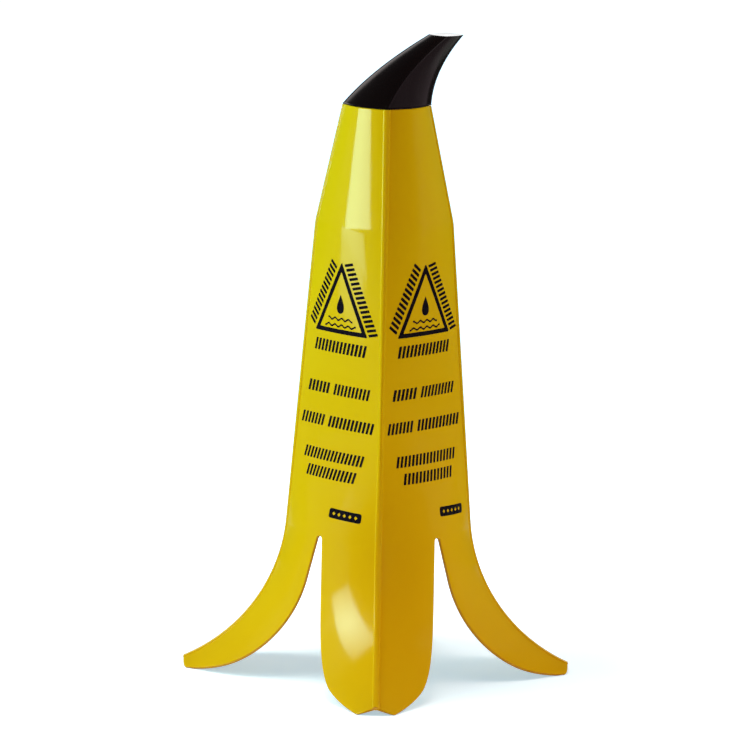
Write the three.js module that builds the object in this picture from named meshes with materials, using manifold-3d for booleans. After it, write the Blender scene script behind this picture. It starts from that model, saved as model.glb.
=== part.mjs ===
// Peel-style wet floor sign: a four-sided cone whose corners run out into four curled legs,
// with a separate leaning stem pushed into its neck. Millimetres, +Z up, floor at z = 0.
// The four faces look along +X, -X, +Y and -Y, so the legs stand on the diagonals.
import * as THREE from 'three';
import Module from 'manifold-3d';

const wasm = await Module();
wasm.setup();

// Overall
const HEIGHT = 590.6;
const WALL = 2.8;
const GAP = 0.3;

// Corner line, measured from the centre line out along the diagonal
const NECK_Z = 525.7;
const NECK_REACH = 40.4;
const SHOULDER_Z = 418.4;
const SHOULDER_REACH = 63.2;
const CURL_Z = 140;
const CURL_REACH = 85.4;
const CURL_RADIUS = 158;
const TIP_REACH = 178;

// Middle of a face, measured from the centre line along the face normal
const MID_NECK = 35.8;
const MID_SHOULDER = 53;
const MID_WAIST = 56.4;
const WAIST_Z = 255;
const MID_SLOT = 75.9;

// The leg ends are cut off flat at z = 0 by a block that reaches this far down
const CUT_DEPTH = 40;

// Slots between the legs, and the free edges of the legs
const SLOT_Z = 136;
const SLOT_HALF = 3;
const EDGE_LEAN = THREE.MathUtils.degToRad(14);
const EDGE_RADIUS = 124;
const EDGE_START = 56;
const EDGE_END = 186.5;
const EDGE_LIFT = 0.9;
const EDGE_TIP = 177;
const LEG_HALF_SLOT = 51.4;
const LEG_HALF_TIP = 17;
const LEG_FULLNESS = 3;
const TIP_BULGE = 5;

// Rounded bead down every corner
const BEAD_HALF = 3.1;
const BEAD_RISE = 0.8;

// Ledge inside the neck, and the stem's spigot that pushes through it
const LEDGE_THICK = 3;
const SPIGOT_REACH = 33;
const SPIGOT_WALL = 2.2;
const SPIGOT_DEPTH = 30;
const SPIGOT_LEAD = 4;
const SPIGOT_TAPER = 0.8;
const LEDGE_INSET = 2;

// Solids that are joined or cut run this far into each other
const OVERLAP = 1;

// Stem
const STEM_TOP_REACH = 15.7;
const STEM_LEAN = 27.5;
const STEM_HOOK = 25.2;
const STEM_WALL = 2.4;
const STEM_RIM_RISE = 0.5;
const STEM_RIM_TALL = 2.2;
const STEM_STEPS = 7;
const STEM_HOLLOW_SHARE = 0.95;
const ROUNDNESS = 0.88;

// Printed legends
const FILM = 0.3;
const FILM_HALF_TOP = 40;
const FILM_HALF_FOOT = 51;
const FILM_FOOT_Z = 144;
const FILM_TOP_Z = 395;
const FILM_STEPS = 7;

// Heights of the rows that the body is built on, and those of them that the printed films follow
const BODY_ROWS = [
  NECK_Z, 470, SHOULDER_Z + 3, SHOULDER_Z - 3, FILM_TOP_Z, 345, 295, 262, 240, 222, 204, 186, 165,
  FILM_FOOT_Z, SLOT_Z,
];
const FILM_ROWS = BODY_ROWS.filter((z) => z >= FILM_FOOT_Z && z <= FILM_TOP_Z);
const SLOT_STEPS = [0.4, 1.5, SLOT_HALF];
const LEG_STEPS = 12;
const FACE_STEPS = 5;
const ROOT2 = Math.SQRT2;

function mix(a, b, t) {
  return a + (b - a) * t;
}

// Smooth curve from one value to another with a given slope at each end, t from 0 to 1
function eased(from, to, startSlope, endSlope, t) {
  return mix(from, to, t * t * (3 - 2 * t)) + startSlope * t * (1 - t) ** 2 - endSlope * t * t * (1 - t);
}

// Lean of the straight corner line below the shoulder
const CORNER_LEAN = Math.atan2(CURL_REACH - SHOULDER_REACH, SHOULDER_Z - CURL_Z);

// Lean of the corner line at a height inside the curl
function curlLean(z) {
  return Math.asin(Math.sin(CORNER_LEAN) + (CURL_Z - z) / CURL_RADIUS);
}

function curlReach(lean) {
  return CURL_REACH + CURL_RADIUS * (Math.cos(CORNER_LEAN) - Math.cos(lean));
}

function curlHeight(lean) {
  return CURL_Z - CURL_RADIUS * (Math.sin(lean) - Math.sin(CORNER_LEAN));
}

function cornerReach(z) {
  if (z >= SHOULDER_Z) {
    return mix(SHOULDER_REACH, NECK_REACH, (z - SHOULDER_Z) / (NECK_Z - SHOULDER_Z));
  }
  if (z >= CURL_Z) {
    return mix(CURL_REACH, SHOULDER_REACH, (z - CURL_Z) / (SHOULDER_Z - CURL_Z));
  }
  return curlReach(curlLean(z));
}

// Slope of the face middle where it meets the slot, the same as that of the legs' free edges
const SLOT_SLOPE = Math.tan(EDGE_LEAN) / ROOT2;

function midReach(z) {
  if (z >= SHOULDER_Z) {
    return mix(MID_SHOULDER, MID_NECK, (z - SHOULDER_Z) / (NECK_Z - SHOULDER_Z));
  }
  if (z >= WAIST_Z) {
    return mix(MID_WAIST, MID_SHOULDER, (z - WAIST_Z) / (SHOULDER_Z - WAIST_Z));
  }
  const drop = WAIST_Z - SLOT_Z;
  const waistSlope = (MID_WAIST - MID_SHOULDER) / (SHOULDER_Z - WAIST_Z);
  return eased(MID_WAIST, MID_SLOT, waistSlope * drop, SLOT_SLOPE * drop, (WAIST_Z - z) / drop);
}

// The slot ends in a half circle: 0 at its top, 1 where its sides become straight
function slotOpening(along) {
  return along < SLOT_HALF ? Math.sqrt(1 - (1 - along / SLOT_HALF) ** 2) : 1;
}

// Free edge of a leg at a distance along the edge from the slot top
function legEdge(along) {
  const arcTop = EDGE_LIFT + EDGE_RADIUS * (1 - Math.sin(EDGE_LEAN));
  const straight = (SLOT_Z - arcTop) / Math.cos(EDGE_LEAN);
  const arcTopReach = EDGE_END - EDGE_RADIUS * Math.cos(EDGE_LEAN);
  let reach;
  let z;
  if (along < straight) {
    reach = arcTopReach - (straight - along) * Math.sin(EDGE_LEAN);
    z = SLOT_Z - along * Math.cos(EDGE_LEAN);
  } else {
    const lean = EDGE_LEAN + (along - straight) / EDGE_RADIUS;
    reach = EDGE_END - EDGE_RADIUS * Math.cos(lean);
    z = EDGE_LIFT + EDGE_RADIUS * (1 - Math.sin(lean));
  }
  const out = (reach - EDGE_START) / (EDGE_TIP - EDGE_START);
  const half = mix(LEG_HALF_SLOT, LEG_HALF_TIP, Math.max(out, 0) ** LEG_FULLNESS);
  const normal = (reach + half) / ROOT2;
  const aside = ((reach - half) / ROOT2) * slotOpening(along);
  return [(normal + aside) / ROOT2, (normal - aside) / ROOT2, z];
}

function legEdgeLength() {
  const arcTop = EDGE_LIFT + EDGE_RADIUS * (1 - Math.sin(EDGE_LEAN));
  const straight = (SLOT_Z - arcTop) / Math.cos(EDGE_LEAN);
  return straight + EDGE_RADIUS * (Math.acos((EDGE_END - EDGE_TIP) / EDGE_RADIUS) - EDGE_LEAN);
}

function cornerLean(z) {
  if (z > SHOULDER_Z) {
    return Math.atan2(SHOULDER_REACH - NECK_REACH, NECK_Z - SHOULDER_Z);
  }
  return z >= CURL_Z ? CORNER_LEAN : curlLean(z);
}

// One row of the sheet, from the corner (u, 0) to the face middle or the free edge (u, v)
function bodyRow(z) {
  const lean = cornerLean(z);
  const reach = cornerReach(z + BEAD_RISE * Math.sin(lean)) - BEAD_RISE * Math.cos(lean);
  const mid = midReach(z);
  return { corner: [reach, 0, z], edge: [mid / ROOT2, mid / ROOT2, z], bulge: mid - reach / ROOT2, lean };
}

function legRow(along) {
  const length = legEdgeLength();
  const share = along / length;
  const top = curlLean(SLOT_Z + BEAD_RISE * Math.sin(curlLean(SLOT_Z)));
  const tip = Math.acos(Math.cos(CORNER_LEAN) - (TIP_REACH - CURL_REACH) / CURL_RADIUS);
  const lean = mix(top, tip, share);
  const edge = legEdge(along);
  // the face keeps its round shape while the slot opens in its middle, so the bulge shrinks
  // with the width that is left
  const start = bodyRow(SLOT_Z);
  const halfFace = start.corner[0] / ROOT2;
  const widening = Math.sin(EDGE_LEAN) / ROOT2;
  const bulgeSlope = SLOT_SLOPE - Math.tan(top) / ROOT2 - (2 * start.bulge * widening) / halfFace;
  const kept = (1 - (SLOT_HALF * (1 + widening)) / halfFace) ** 2;
  const bulge = eased(start.bulge, TIP_BULGE / kept, bulgeSlope * length, 0, share);
  return {
    corner: [curlReach(lean) - BEAD_RISE * Math.cos(lean), 0, curlHeight(lean) - BEAD_RISE * Math.sin(lean)],
    edge,
    bulge: bulge * (1 - (1 - kept) * slotOpening(along)),
    lean,
  };
}

// Point on a row: 0 at the corner, 1 at the face middle or the free edge
function sheetPoint(row, share) {
  const swell = (row.bulge * share * (1 - share)) / ROOT2;
  return [
    mix(row.corner[0], row.edge[0], share) + swell,
    mix(row.corner[1], row.edge[1], share) + swell,
    mix(row.corner[2], row.edge[2], share),
  ];
}

function rowWidth(row) {
  return Math.hypot(row.edge[0] - row.corner[0], row.edge[1], row.edge[2] - row.corner[2]);
}

// Shares across a row: the bead first, then the plain face
function outerShares(row) {
  const bead = BEAD_HALF / rowWidth(row);
  const shares = [0, 0.55 * bead, 0.88 * bead, bead];
  for (let k = 1; k <= FACE_STEPS; k += 1) {
    shares.push(mix(bead, 1, k / FACE_STEPS));
  }
  return shares;
}

function outerPoint(row, share) {
  const offset = (share * rowWidth(row)) / BEAD_HALF;
  const rise = offset < 1 ? BEAD_RISE * Math.sqrt(1 - offset * offset) : 0;
  const point = sheetPoint(row, share);
  return [point[0] + rise * Math.cos(row.lean), point[1], point[2] + rise * Math.sin(row.lean)];
}

function subtract(a, b) {
  return [a[0] - b[0], a[1] - b[1], a[2] - b[2]];
}

function unitCross(a, b) {
  const c = new THREE.Vector3(...a).cross(new THREE.Vector3(...b)).normalize();
  return [c.x, c.y, c.z];
}

// Outward direction of the sheet at a place in the grid of rows
function sheetNormal(rows, i, share, onBody) {
  const before = rows[Math.max(i - 1, 0)];
  const after = rows[Math.min(i + 1, rows.length - 1)];
  const here = Math.max(share, 0.02);
  const down = subtract(sheetPoint(after, here), sheetPoint(before, here));
  const near = sheetPoint(rows[i], Math.max(here - 0.02, 0));
  const far = sheetPoint(rows[i], Math.min(here + 0.02, 1));
  const normal = unitCross(down, subtract(far, near));
  if (share === 0) {
    return { normal: [Math.cos(rows[i].lean), 0, Math.sin(rows[i].lean)], face: normal };
  }
  if (share === 1 && onBody) {
    const level = (normal[0] + normal[1]) / 2;
    const length = Math.hypot(level, level, normal[2]);
    return { normal: [level / length, level / length, normal[2] / length], face: null };
  }
  return { normal, face: null };
}

function innerPoint(rows, i, share, onBody) {
  const { normal, face } = sheetNormal(rows, i, share, onBody);
  let depth = WALL;
  if (face) {
    const agree = face[0] * normal[0] + face[1] * normal[1] + face[2] * normal[2];
    depth = WALL / Math.max(agree, 0.75);
  }
  const point = sheetPoint(rows[i], share);
  const level = i === 0 ? 0 : depth * normal[2];
  return [point[0] - depth * normal[0], point[1] - depth * normal[1], point[2] - level];
}

// Collects shared vertices and triangles for one closed body
class Skin {
  constructor() {
    this.keys = new Map();
    this.points = [];
    this.triangles = [];
  }

  vertex(p) {
    const key = p.map((value) => Math.round(value * 1e4)).join(',');
    if (!this.keys.has(key)) {
      this.keys.set(key, this.points.length / 3);
      this.points.push(p[0], p[1], p[2]);
    }
    return this.keys.get(key);
  }

  triangle(a, b, c, flip) {
    const ids = [a, b, c].map((p) => this.vertex(p));
    if (ids[0] === ids[1] || ids[1] === ids[2] || ids[2] === ids[0]) {
      return;
    }
    this.triangles.push(ids[0], flip ? ids[2] : ids[1], flip ? ids[1] : ids[2]);
  }

  grid(rows, flip) {
    for (let i = 0; i + 1 < rows.length; i += 1) {
      for (let j = 0; j + 1 < rows[i].length; j += 1) {
        this.triangle(rows[i][j], rows[i + 1][j], rows[i][j + 1], flip);
        this.triangle(rows[i][j + 1], rows[i + 1][j], rows[i + 1][j + 1], flip);
      }
    }
  }

  // Strip between two lines that may have different numbers of points
  bridge(first, second, flip) {
    let i = 0;
    let j = 0;
    while (i + 1 < first.length || j + 1 < second.length) {
      const nextFirst = (i + 1) / (first.length - 1);
      const nextSecond = (j + 1) / (second.length - 1);
      if (j + 1 === second.length || (i + 1 < first.length && nextFirst <= nextSecond)) {
        this.triangle(first[i], second[j], first[i + 1], flip);
        i += 1;
      } else {
        this.triangle(first[i], second[j], second[j + 1], flip);
        j += 1;
      }
    }
  }

  solid() {
    const mesh = new wasm.Mesh({
      numProp: 3,
      vertProperties: new Float32Array(this.points),
      triVerts: new Uint32Array(this.triangles),
    });
    return new wasm.Manifold(mesh);
  }
}

// Places a point given for one corner onto corner number q, mirrored when side is -1
function place(point, q, side) {
  const turn = Math.PI / 4 + (q * Math.PI) / 2;
  const v = side * point[1];
  return [
    point[0] * Math.cos(turn) - v * Math.sin(turn),
    point[0] * Math.sin(turn) + v * Math.cos(turn),
    point[2],
  ];
}

function shellRows() {
  const rows = BODY_ROWS.map(bodyRow);
  SLOT_STEPS.forEach((along) => rows.push(legRow(along)));
  const length = legEdgeLength();
  for (let k = 1; k <= LEG_STEPS; k += 1) {
    rows.push(legRow(mix(SLOT_HALF, length, k / LEG_STEPS)));
  }
  return rows;
}

function shellSkin() {
  const rows = shellRows();
  const slotRow = BODY_ROWS.length - 1;
  const outer = rows.map((row) => outerShares(row).map((share) => outerPoint(row, share)));
  const inner = rows.map((row, i) => {
    const points = [];
    for (let k = 0; k <= FACE_STEPS; k += 1) {
      points.push(innerPoint(rows, i, k / FACE_STEPS, i <= slotRow));
    }
    return points;
  });
  const skin = new Skin();
  for (let q = 0; q < 4; q += 1) {
    for (const side of [1, -1]) {
      const flip = side < 0;
      const out = outer.map((line) => line.map((p) => place(p, q, side)));
      const inn = inner.map((line) => line.map((p) => place(p, q, side)));
      skin.grid(out, flip);
      skin.grid(inn, !flip);
      skin.bridge(out[0], inn[0], !flip);
      skin.bridge(out[out.length - 1], inn[inn.length - 1], flip);
      const outEdge = out.slice(slotRow).map((line) => line[line.length - 1]);
      const innEdge = inn.slice(slotRow).map((line) => line[line.length - 1]);
      skin.bridge(outEdge, innEdge, !flip);
    }
  }
  return skin;
}

// Closed rounded-square loop with optional corner beads, centred at (aside, aside)
function loop(reach, z, aside, bead) {
  const flat = reach - bead;
  const row = {
    corner: [flat, 0, z],
    edge: [(reach * ROUNDNESS) / ROOT2, (reach * ROUNDNESS) / ROOT2, z],
    bulge: reach * ROUNDNESS - flat / ROOT2,
    lean: 0,
  };
  const shares = bead > 0 ? [0, 0.04, 0.08, 0.3, 0.55, 0.8] : [0, 0.25, 0.5, 0.75];
  const half = shares.map((share) => {
    const p = sheetPoint(row, share);
    const rise = share < 0.09 ? bead * Math.sqrt(1 - (share / 0.09) ** 2) : 0;
    return [p[0] + rise, p[1], z];
  });
  const points = [];
  for (let q = 0; q < 4; q += 1) {
    for (let k = half.length - 1; k > 0; k -= 1) {
      points.push(place(half[k], q, -1));
    }
    half.forEach((p) => points.push(place(p, q, 1)));
    points.push(place(row.edge, q, 1));
  }
  return points.map((p) => [p[0] + aside, p[1] + aside, z]);
}

// Solid through a stack of loops listed from the bottom up
function loft(loops) {
  const skin = new Skin();
  for (let i = 0; i + 1 < loops.length; i += 1) {
    const count = loops[i].length;
    for (let k = 0; k < count; k += 1) {
      const next = (k + 1) % count;
      skin.triangle(loops[i][k], loops[i][next], loops[i + 1][k], false);
      skin.triangle(loops[i][next], loops[i + 1][next], loops[i + 1][k], false);
    }
  }
  for (const [line, flip] of [[loops[0], true], [loops[loops.length - 1], false]]) {
    const middle = line.reduce((sum, p) => [sum[0] + p[0], sum[1] + p[1], p[2]], [0, 0, 0]);
    const centre = [middle[0] / line.length, middle[1] / line.length, middle[2]];
    for (let k = 0; k < line.length; k += 1) {
      skin.triangle(line[k], line[(k + 1) % line.length], centre, flip);
    }
  }
  return skin.solid();
}

function coneShell() {
  const skin = shellSkin().solid();
  const below = loft([loop(2 * TIP_REACH, -CUT_DEPTH, 0, 0), loop(2 * TIP_REACH, 0, 0, 0)]);
  const ledgeFoot = NECK_Z - LEDGE_THICK;
  const ledge = loft([
    loop(cornerReach(ledgeFoot) - LEDGE_INSET, ledgeFoot, 0, 0),
    loop(cornerReach(NECK_Z) - LEDGE_INSET, NECK_Z, 0, 0),
  ]);
  const opening = loft([
    loop(SPIGOT_REACH + GAP * ROOT2, ledgeFoot - OVERLAP, 0, 0),
    loop(SPIGOT_REACH + GAP * ROOT2, NECK_Z + OVERLAP, 0, 0),
  ]);
  return skin.subtract(below).add(ledge.subtract(opening));
}

// Reach and sideways offset of the stem at a share of its height
function stemLoop(share, inset, foot) {
  const z = mix(foot, HEIGHT, share);
  const aside = (STEM_LEAN * share + STEM_HOOK * share * share) / ROOT2;
  const reach = mix(NECK_REACH, STEM_TOP_REACH, share) - inset;
  return { z, aside, reach };
}

// Outer loops of the stem: the rolled rim at its foot, then the leaning part
function stemOutside(foot) {
  const rimShare = STEM_RIM_TALL / (HEIGHT - foot);
  const rim = [[0, 0], [0.25 * rimShare, STEM_RIM_RISE], [0.7 * rimShare, STEM_RIM_RISE], [rimShare, 0]];
  const loops = rim.map(([share, proud]) => {
    const at = stemLoop(share, 0, foot);
    return loop(at.reach + proud, at.z, at.aside, BEAD_RISE);
  });
  for (let k = 1; k <= STEM_STEPS; k += 1) {
    const at = stemLoop(mix(rimShare, 1, k / STEM_STEPS), 0, foot);
    loops.push(loop(at.reach, at.z, at.aside, BEAD_RISE));
  }
  return loops;
}

// Inner loops of the stem, no wider than the bore of the spigot
function stemInside(foot) {
  const bore = SPIGOT_REACH - SPIGOT_WALL;
  const loops = [loop(bore, foot - OVERLAP, 0, 0)];
  for (let k = 1; k <= STEM_STEPS; k += 1) {
    const at = stemLoop((STEM_HOLLOW_SHARE * k) / STEM_STEPS, STEM_WALL + BEAD_RISE + OVERLAP, foot);
    loops.push(loop(Math.min(at.reach, bore), at.z, at.aside, 0));
  }
  return loops;
}

function stemCap() {
  const foot = NECK_Z + GAP;
  const spigotFoot = NECK_Z - SPIGOT_DEPTH;
  const spigot = loft([
    loop(SPIGOT_REACH - SPIGOT_TAPER, spigotFoot, 0, 0),
    loop(SPIGOT_REACH, spigotFoot + SPIGOT_LEAD, 0, 0),
    loop(SPIGOT_REACH, foot + OVERLAP, 0, 0),
  ]);
  const bore = loft([
    loop(SPIGOT_REACH - SPIGOT_WALL, spigotFoot - OVERLAP, 0, 0),
    loop(SPIGOT_REACH - SPIGOT_WALL, foot - 0.5 * OVERLAP, 0, 0),
  ]);
  return loft(stemOutside(foot)).add(spigot).subtract(loft(stemInside(foot))).subtract(bore);
}

// One surface of half a printed film, lifted off the face by a distance
function filmLayer(rows, lift) {
  const foot = FILM_ROWS[FILM_ROWS.length - 1];
  return FILM_ROWS.map((z) => {
    const i = BODY_ROWS.indexOf(z);
    const half = mix(FILM_HALF_FOOT, FILM_HALF_TOP, (z - foot) / (FILM_ROWS[0] - foot));
    const faceHalf = rows[i].corner[0] / ROOT2;
    const points = [];
    for (let k = 0; k <= FILM_STEPS; k += 1) {
      const share = 1 - (half / faceHalf) * (1 - k / FILM_STEPS);
      const { normal } = sheetNormal(rows, i, share, true);
      const p = sheetPoint(rows[i], share);
      points.push([p[0] + lift * normal[0], p[1] + lift * normal[1], p[2] + lift * normal[2]]);
    }
    return points;
  });
}

// Thin printed film lying on one face, number q counted from the +X face
function legendFilm(q) {
  const rows = BODY_ROWS.map(bodyRow);
  const layers = [filmLayer(rows, GAP), filmLayer(rows, GAP + FILM)];
  const skin = new Skin();
  for (const side of [1, -1]) {
    // one half of the film is next to the corner before the face, the other next to the one after it
    const corner = side > 0 ? q + 3 : q;
    const [low, high] = layers.map((layer) => layer.map((line) => line.map((p) => place(p, corner, side))));
    const flip = side < 0;
    const last = low.length - 1;
    skin.grid(high, flip);
    skin.grid(low, !flip);
    skin.bridge(high[0], low[0], !flip);
    skin.bridge(high[last], low[last], flip);
    skin.bridge(high.map((line) => line[0]), low.map((line) => line[0]), flip);
  }
  return skin.solid();
}

function named(solid, name, color, roughness) {
  const data = solid.getMesh();
  const geometry = new THREE.BufferGeometry();
  geometry.setAttribute('position', new THREE.BufferAttribute(new Float32Array(data.vertProperties), 3));
  geometry.setIndex(new THREE.BufferAttribute(new Uint32Array(data.triVerts), 1));
  geometry.computeVertexNormals();
  const material = new THREE.MeshStandardMaterial({ color, roughness, metalness: 0 });
  material.name = name;
  const mesh = new THREE.Mesh(geometry, material);
  mesh.name = name;
  return mesh;
}

const group = new THREE.Group();
group.name = 'wet_floor_sign';
group.add(named(coneShell(), 'cone_shell', 0xd6bb14, 0.25));
group.add(named(stemCap(), 'stem_cap', 0x1c0f08, 0.2));
group.add(named(legendFilm(0), 'legend_right', 0x111111, 0.5));
group.add(named(legendFilm(1), 'legend_back', 0x111111, 0.5));
group.add(named(legendFilm(2), 'legend_left', 0x111111, 0.5));
group.add(named(legendFilm(3), 'legend_front', 0x111111, 0.5));

export default group;
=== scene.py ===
"""Looks of the peel-shaped wet floor sign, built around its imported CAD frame."""
import math

import bpy
import numpy as np
from mathutils import Matrix, Quaternion, Vector
from mathutils.geometry import delaunay_2d_cdt


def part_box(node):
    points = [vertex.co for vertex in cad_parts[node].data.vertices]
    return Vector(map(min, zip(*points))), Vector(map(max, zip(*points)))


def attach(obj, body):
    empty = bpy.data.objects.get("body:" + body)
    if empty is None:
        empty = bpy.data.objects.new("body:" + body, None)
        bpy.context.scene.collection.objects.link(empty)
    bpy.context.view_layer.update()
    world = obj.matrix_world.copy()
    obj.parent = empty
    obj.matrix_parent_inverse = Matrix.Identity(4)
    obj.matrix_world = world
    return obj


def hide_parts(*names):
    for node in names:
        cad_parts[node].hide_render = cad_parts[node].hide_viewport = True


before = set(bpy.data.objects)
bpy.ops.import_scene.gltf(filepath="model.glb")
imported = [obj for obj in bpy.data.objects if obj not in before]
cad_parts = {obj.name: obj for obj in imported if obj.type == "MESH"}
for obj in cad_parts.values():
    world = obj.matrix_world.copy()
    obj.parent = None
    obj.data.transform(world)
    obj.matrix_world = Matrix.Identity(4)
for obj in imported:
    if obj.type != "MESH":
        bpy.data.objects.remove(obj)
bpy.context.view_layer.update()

MM = 0.001
ROOT2 = math.sqrt(2.0)

# ---------------------------------------------------------------- sizes, in millimetres
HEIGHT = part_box("stem_cap")[1].z / MM
NECK_Z = 525.7
NECK_REACH, SHOULDER_Z, SHOULDER_REACH = 40.4, 418.4, 63.2
CURL_Z, CURL_REACH, CURL_RADIUS, TIP_REACH = 140.0, 85.4, 158.0, 178.0
MID_NECK, MID_SHOULDER, MID_WAIST, WAIST_Z, MID_SLOT = 35.8, 53.0, 56.4, 255.0, 75.9
SLOT_Z, SLOT_HALF = 136.0, 3.0
EDGE_LEAN, EDGE_RADIUS, EDGE_LIFT = math.radians(14), 124.0, 0.9
EDGE_START, EDGE_END, EDGE_TIP = 56.0, 186.5, 177.0
LEG_HALF_SLOT, LEG_HALF_TIP, LEG_FULLNESS, TIP_BULGE = 51.4, 17.0, 3.0, 5.0
TIP_CORNER = 2.5
# the legs narrow a little more than in the CAD from this share of their reach on
TRIM_START, TRIM_DEPTH, TRIM_IN, TRIM_OUT = 0.62, 11.0, 1.5, 0.8
BEAD_HALF, BEAD_RISE = 3.1, 0.8
WALL, CORNER_THICKER, CORNER_SPREAD = 2.8, 0.22, 0.06
MID_SMOOTHING, CORNER_SMOOTHING = 9.0, 6.0
SPIGOT_REACH, SPIGOT_WALL, SPIGOT_DEPTH, LEDGE = 33.0, 2.2, 30.0, 3.0
STEM_TOP, STEM_LEAN, STEM_HOOK, STEM_WALL = 15.7, 27.5, 25.2, 2.4
ROUNDNESS = 0.88
GAP = 0.3

CORNER_LEAN = math.atan2(CURL_REACH - SHOULDER_REACH, SHOULDER_Z - CURL_Z)
TIP_LEAN = math.acos(math.cos(CORNER_LEAN) - (TIP_REACH - CURL_REACH) / CURL_RADIUS)


# ---------------------------------------------------------------- profiles
FINE_STEP = 0.5
FINE = np.arange(100.0, 560.0, FINE_STEP)


def smoothed(heights, values, reach):
    """Running average of a profile over plus and minus reach, straight beyond its ends."""
    at = np.interp(FINE, heights, values)
    below, above = FINE < heights[0], FINE > heights[-1]
    low_slope = (values[1] - values[0]) / (heights[1] - heights[0])
    high_slope = (values[-1] - values[-2]) / (heights[-1] - heights[-2])
    at[below] = values[0] + (FINE[below] - heights[0]) * low_slope
    at[above] = values[-1] + (FINE[above] - heights[-1]) * high_slope
    span = int(reach / FINE_STEP)
    kernel = np.hanning(2 * span + 3)[1:-1]
    kernel /= kernel.sum()
    padded = np.pad(at, span, mode="reflect", reflect_type="odd")
    return FINE, np.convolve(padded, kernel, mode="valid")


def curl_lean(z):
    return np.arcsin(np.sin(CORNER_LEAN) + (CURL_Z - z) / CURL_RADIUS)


def curl_reach(lean):
    return CURL_REACH + CURL_RADIUS * (np.cos(CORNER_LEAN) - np.cos(lean))


def curl_height(lean):
    return CURL_Z - CURL_RADIUS * (np.sin(lean) - np.sin(CORNER_LEAN))


def hermite(start, end, start_slope, end_slope, t):
    """Smooth curve from start to end with a given slope at each end, t from 0 to 1."""
    between = start + (end - start) * t * t * (3 - 2 * t)
    return between + start_slope * t * (1 - t) ** 2 - end_slope * t * t * (1 - t)


SLOT_SLOPE = math.tan(EDGE_LEAN) / ROOT2


def raw_mid(z):
    """Reach of a face's middle line, with a sharp bend at the shoulder."""
    drop = WAIST_Z - SLOT_Z
    waist_slope = (MID_WAIST - MID_SHOULDER) / (SHOULDER_Z - WAIST_Z)
    t = np.clip((WAIST_Z - z) / drop, 0, 1)
    low = hermite(MID_WAIST, MID_SLOT, waist_slope * drop, SLOT_SLOPE * drop, t)
    low = low + np.clip(SLOT_Z - z, 0, None) * SLOT_SLOPE
    middle = MID_WAIST + (MID_SHOULDER - MID_WAIST) * (z - WAIST_Z) / (SHOULDER_Z - WAIST_Z)
    high = MID_SHOULDER + (MID_NECK - MID_SHOULDER) * (z - SHOULDER_Z) / (NECK_Z - SHOULDER_Z)
    return np.where(z >= SHOULDER_Z, high, np.where(z >= WAIST_Z, middle, low))


MID_HEIGHTS = np.arange(120.0, 540.0, 1.0)
MID_FINE = smoothed(MID_HEIGHTS, raw_mid(MID_HEIGHTS), MID_SMOOTHING)
CORNER_HEIGHTS = np.array([CURL_Z, SHOULDER_Z, NECK_Z])
CORNER_REACHES = np.array([CURL_REACH, SHOULDER_REACH, NECK_REACH])
CORNER_FINE = smoothed(CORNER_HEIGHTS, CORNER_REACHES, CORNER_SMOOTHING)


def mid_reach(z):
    return np.interp(z, *MID_FINE)


def corner_reach(z):
    z = np.asarray(z, float)
    curled = curl_reach(curl_lean(np.minimum(z, CURL_Z)))
    return np.where(z >= CURL_Z, np.interp(z, *CORNER_FINE), curled)


def corner_lean(z):
    return np.arctan(corner_reach(z - 0.5) - corner_reach(z + 0.5))


def body_rows(z):
    """Rows of the sheet above the slots: corner, edge, bulge and lean for every height."""
    z = np.asarray(z, float)
    lean = corner_lean(z)
    reach = corner_reach(z + BEAD_RISE * np.sin(lean)) - BEAD_RISE * np.cos(lean)
    mid = mid_reach(z)
    zero = np.zeros_like(z)
    return {
        "corner": np.stack([reach, zero, z], -1),
        "edge": np.stack([mid / ROOT2, mid / ROOT2, z], -1),
        "bulge": mid - reach / ROOT2,
        "lean": lean,
    }


ARC_TOP = EDGE_LIFT + EDGE_RADIUS * (1 - math.sin(EDGE_LEAN))
STRAIGHT = (SLOT_Z - ARC_TOP) / math.cos(EDGE_LEAN)
EDGE_LENGTH = STRAIGHT + EDGE_RADIUS * (math.acos((EDGE_END - EDGE_TIP) / EDGE_RADIUS) - EDGE_LEAN)


def slot_closing(along):
    """Half-circle end of the slot: 0 at its top, 1 where its sides become straight."""
    return np.sqrt(1 - (1 - np.clip(along / SLOT_HALF, 0, 1)) ** 2)


def leg_edge(along):
    """Free edge of a leg at distances along it from the slot top."""
    start = EDGE_END - EDGE_RADIUS * math.cos(EDGE_LEAN)
    lean = EDGE_LEAN + (along - STRAIGHT) / EDGE_RADIUS
    on_line = along < STRAIGHT
    straight_reach = start - (STRAIGHT - along) * math.sin(EDGE_LEAN)
    straight_z = SLOT_Z - along * math.cos(EDGE_LEAN)
    reach = np.where(on_line, straight_reach, EDGE_END - EDGE_RADIUS * np.cos(lean))
    z = np.where(on_line, straight_z, EDGE_LIFT + EDGE_RADIUS * (1 - np.sin(lean)))
    out = np.clip((reach - EDGE_START) / (EDGE_TIP - EDGE_START), 0, None)
    half = LEG_HALF_SLOT + (LEG_HALF_TIP - LEG_HALF_SLOT) * out ** LEG_FULLNESS
    trim = np.clip((out - TRIM_START) / (1 - TRIM_START), 0, 1)
    half = half - TRIM_DEPTH * trim ** TRIM_IN * (1 - trim) ** TRIM_OUT
    left = np.clip(TIP_CORNER - (EDGE_LENGTH - along), 0, TIP_CORNER)
    half = half - (TIP_CORNER - np.sqrt(TIP_CORNER ** 2 - left ** 2))
    closing = slot_closing(along)
    normal = (reach + half) / ROOT2
    aside = (reach - half) / ROOT2 * closing
    return np.stack([(normal + aside) / ROOT2, (normal - aside) / ROOT2, z], -1)


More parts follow.
